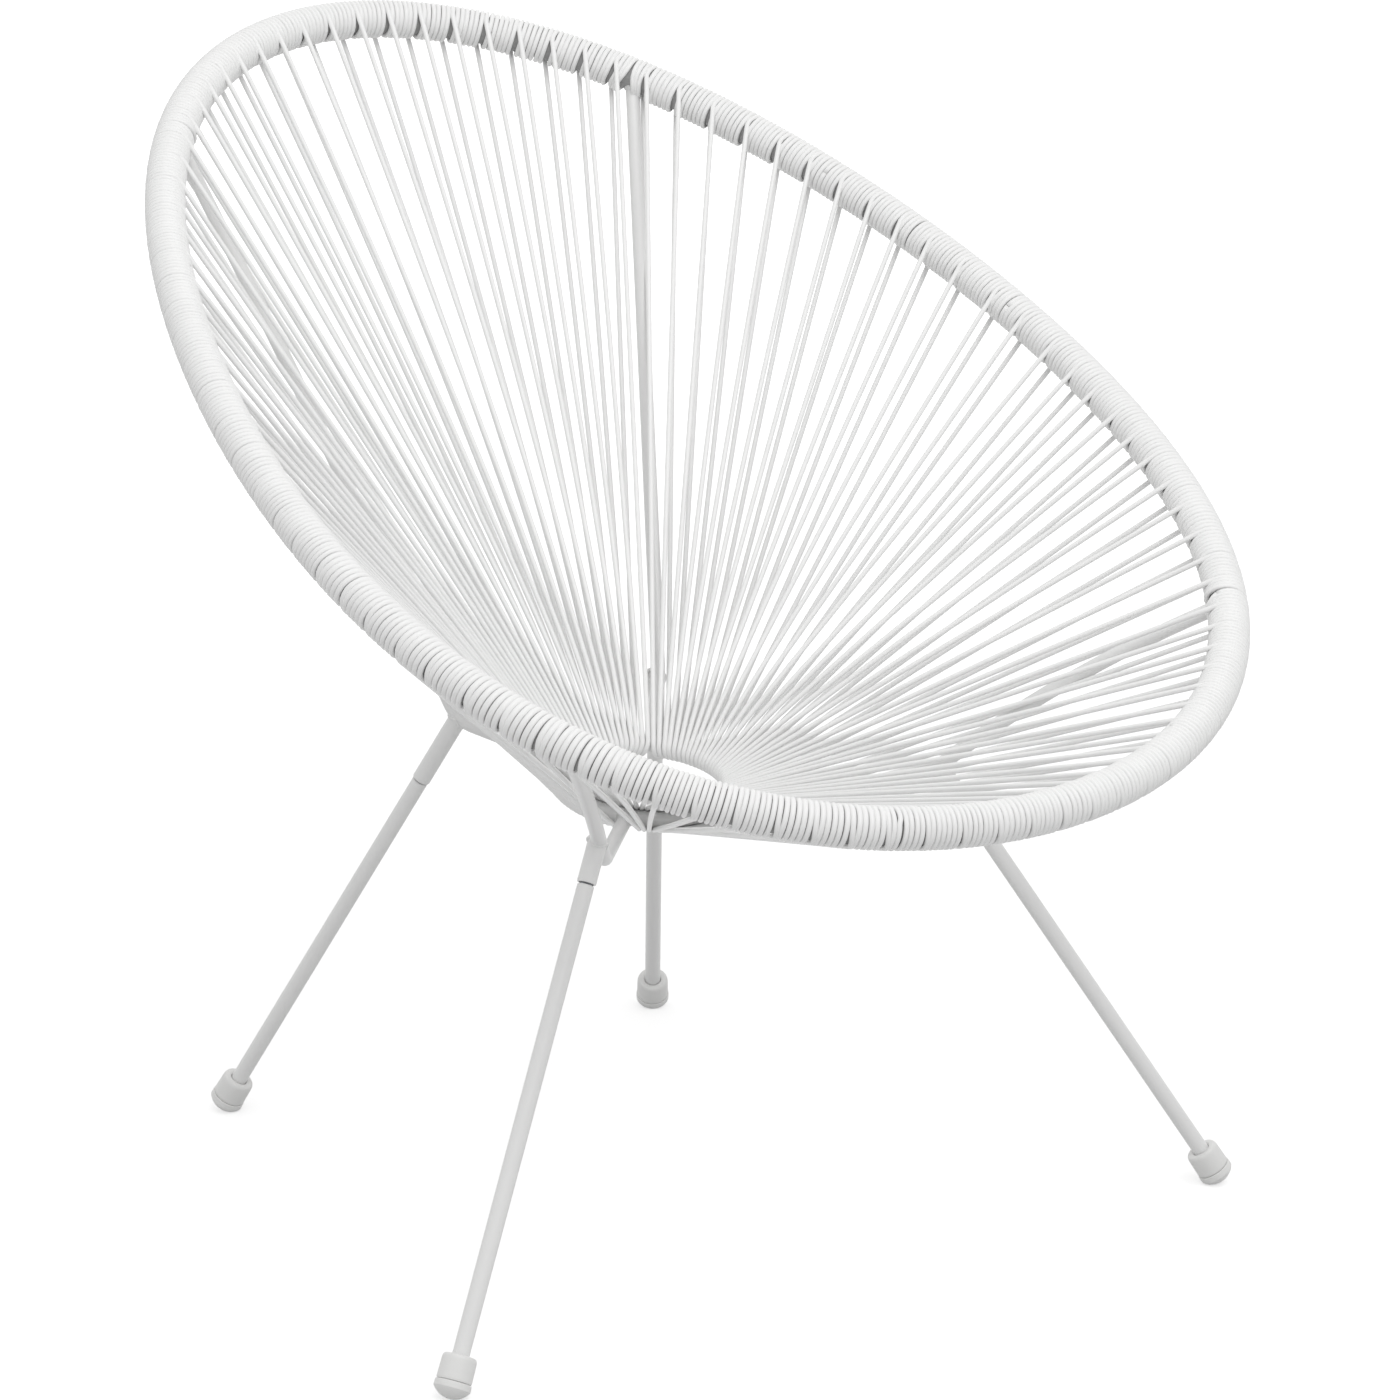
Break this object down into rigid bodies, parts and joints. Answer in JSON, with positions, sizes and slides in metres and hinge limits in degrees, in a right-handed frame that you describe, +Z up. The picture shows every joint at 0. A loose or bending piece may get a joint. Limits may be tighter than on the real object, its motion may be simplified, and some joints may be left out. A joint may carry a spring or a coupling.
{
  "type": "acapulco chair",
  "caption": "Low lounge chair: an egg-shaped tube rim laced with plastic cord down to a small seat ring, on splayed screw-in legs.",
  "frame": {"origin": "on the floor under the middle of the chair's overall box", "axes": "+Z up, -Y is where the sitter faces, +X is the sitter's left"},
  "size_m": [0.739, 0.9467, 0.8519],
  "materials": {
    "frame_white": "white powder coat, satin",
    "cord_white": "round extruded plastic cord, satin",
    "cap_white": "moulded plastic, satin",
    "zinc_steel": "bright zinc plate"
  },
  "bodies": {
    "root": {"cord_lacing_back_1": "cord_white", "cord_lacing_back_2": "cord_white", "cord_lacing_back_3": "cord_white", "cord_lacing_front_1": "cord_white", "cord_lacing_front_2": "cord_white", "cord_lacing_front_3": "cord_white", "cord_lacing_front_4": "cord_white", "cord_lacing_left_1": "cord_white", "cord_lacing_left_2": "cord_white", "cord_lacing_left_3": "cord_white", "cord_lacing_left_4": "cord_white", "cord_lacing_right_1": "cord_white", "cord_lacing_right_2": "cord_white", "cord_lacing_right_3": "cord_white", "cord_lacing_right_4": "cord_white", "foot_cap_back_left": "cap_white", "foot_cap_back_right": "cap_white", "foot_cap_front_left": "cap_white", "foot_cap_front_right": "cap_white", "foot_glide_back_left": "cap_white", "foot_glide_back_right": "cap_white", "foot_glide_front_left": "cap_white", "foot_glide_front_right": "cap_white", "frame_rib_back_left": "frame_white", "frame_rib_back_right": "frame_white", "frame_rib_front_left": "frame_white", "frame_rib_front_right": "frame_white", "leg_socket_back_left": "frame_white", "leg_socket_back_right": "frame_white", "leg_socket_front_left": "frame_white", "leg_socket_front_right": "frame_white", "leg_stud_back_left": "zinc_steel", "leg_stud_back_right": "zinc_steel", "leg_stud_front_left": "zinc_steel", "leg_stud_front_right": "zinc_steel", "leg_tube_back_left": "frame_white", "leg_tube_back_right": "frame_white", "leg_tube_front_left": "frame_white", "leg_tube_front_right": "frame_white", "rim_tube": "frame_white", "seat_ring": "frame_white", "threaded_insert_back_left": "zinc_steel", "threaded_insert_back_right": "zinc_steel", "threaded_insert_front_left": "zinc_steel", "threaded_insert_front_right": "zinc_steel"}
  },
  "joints": []
}
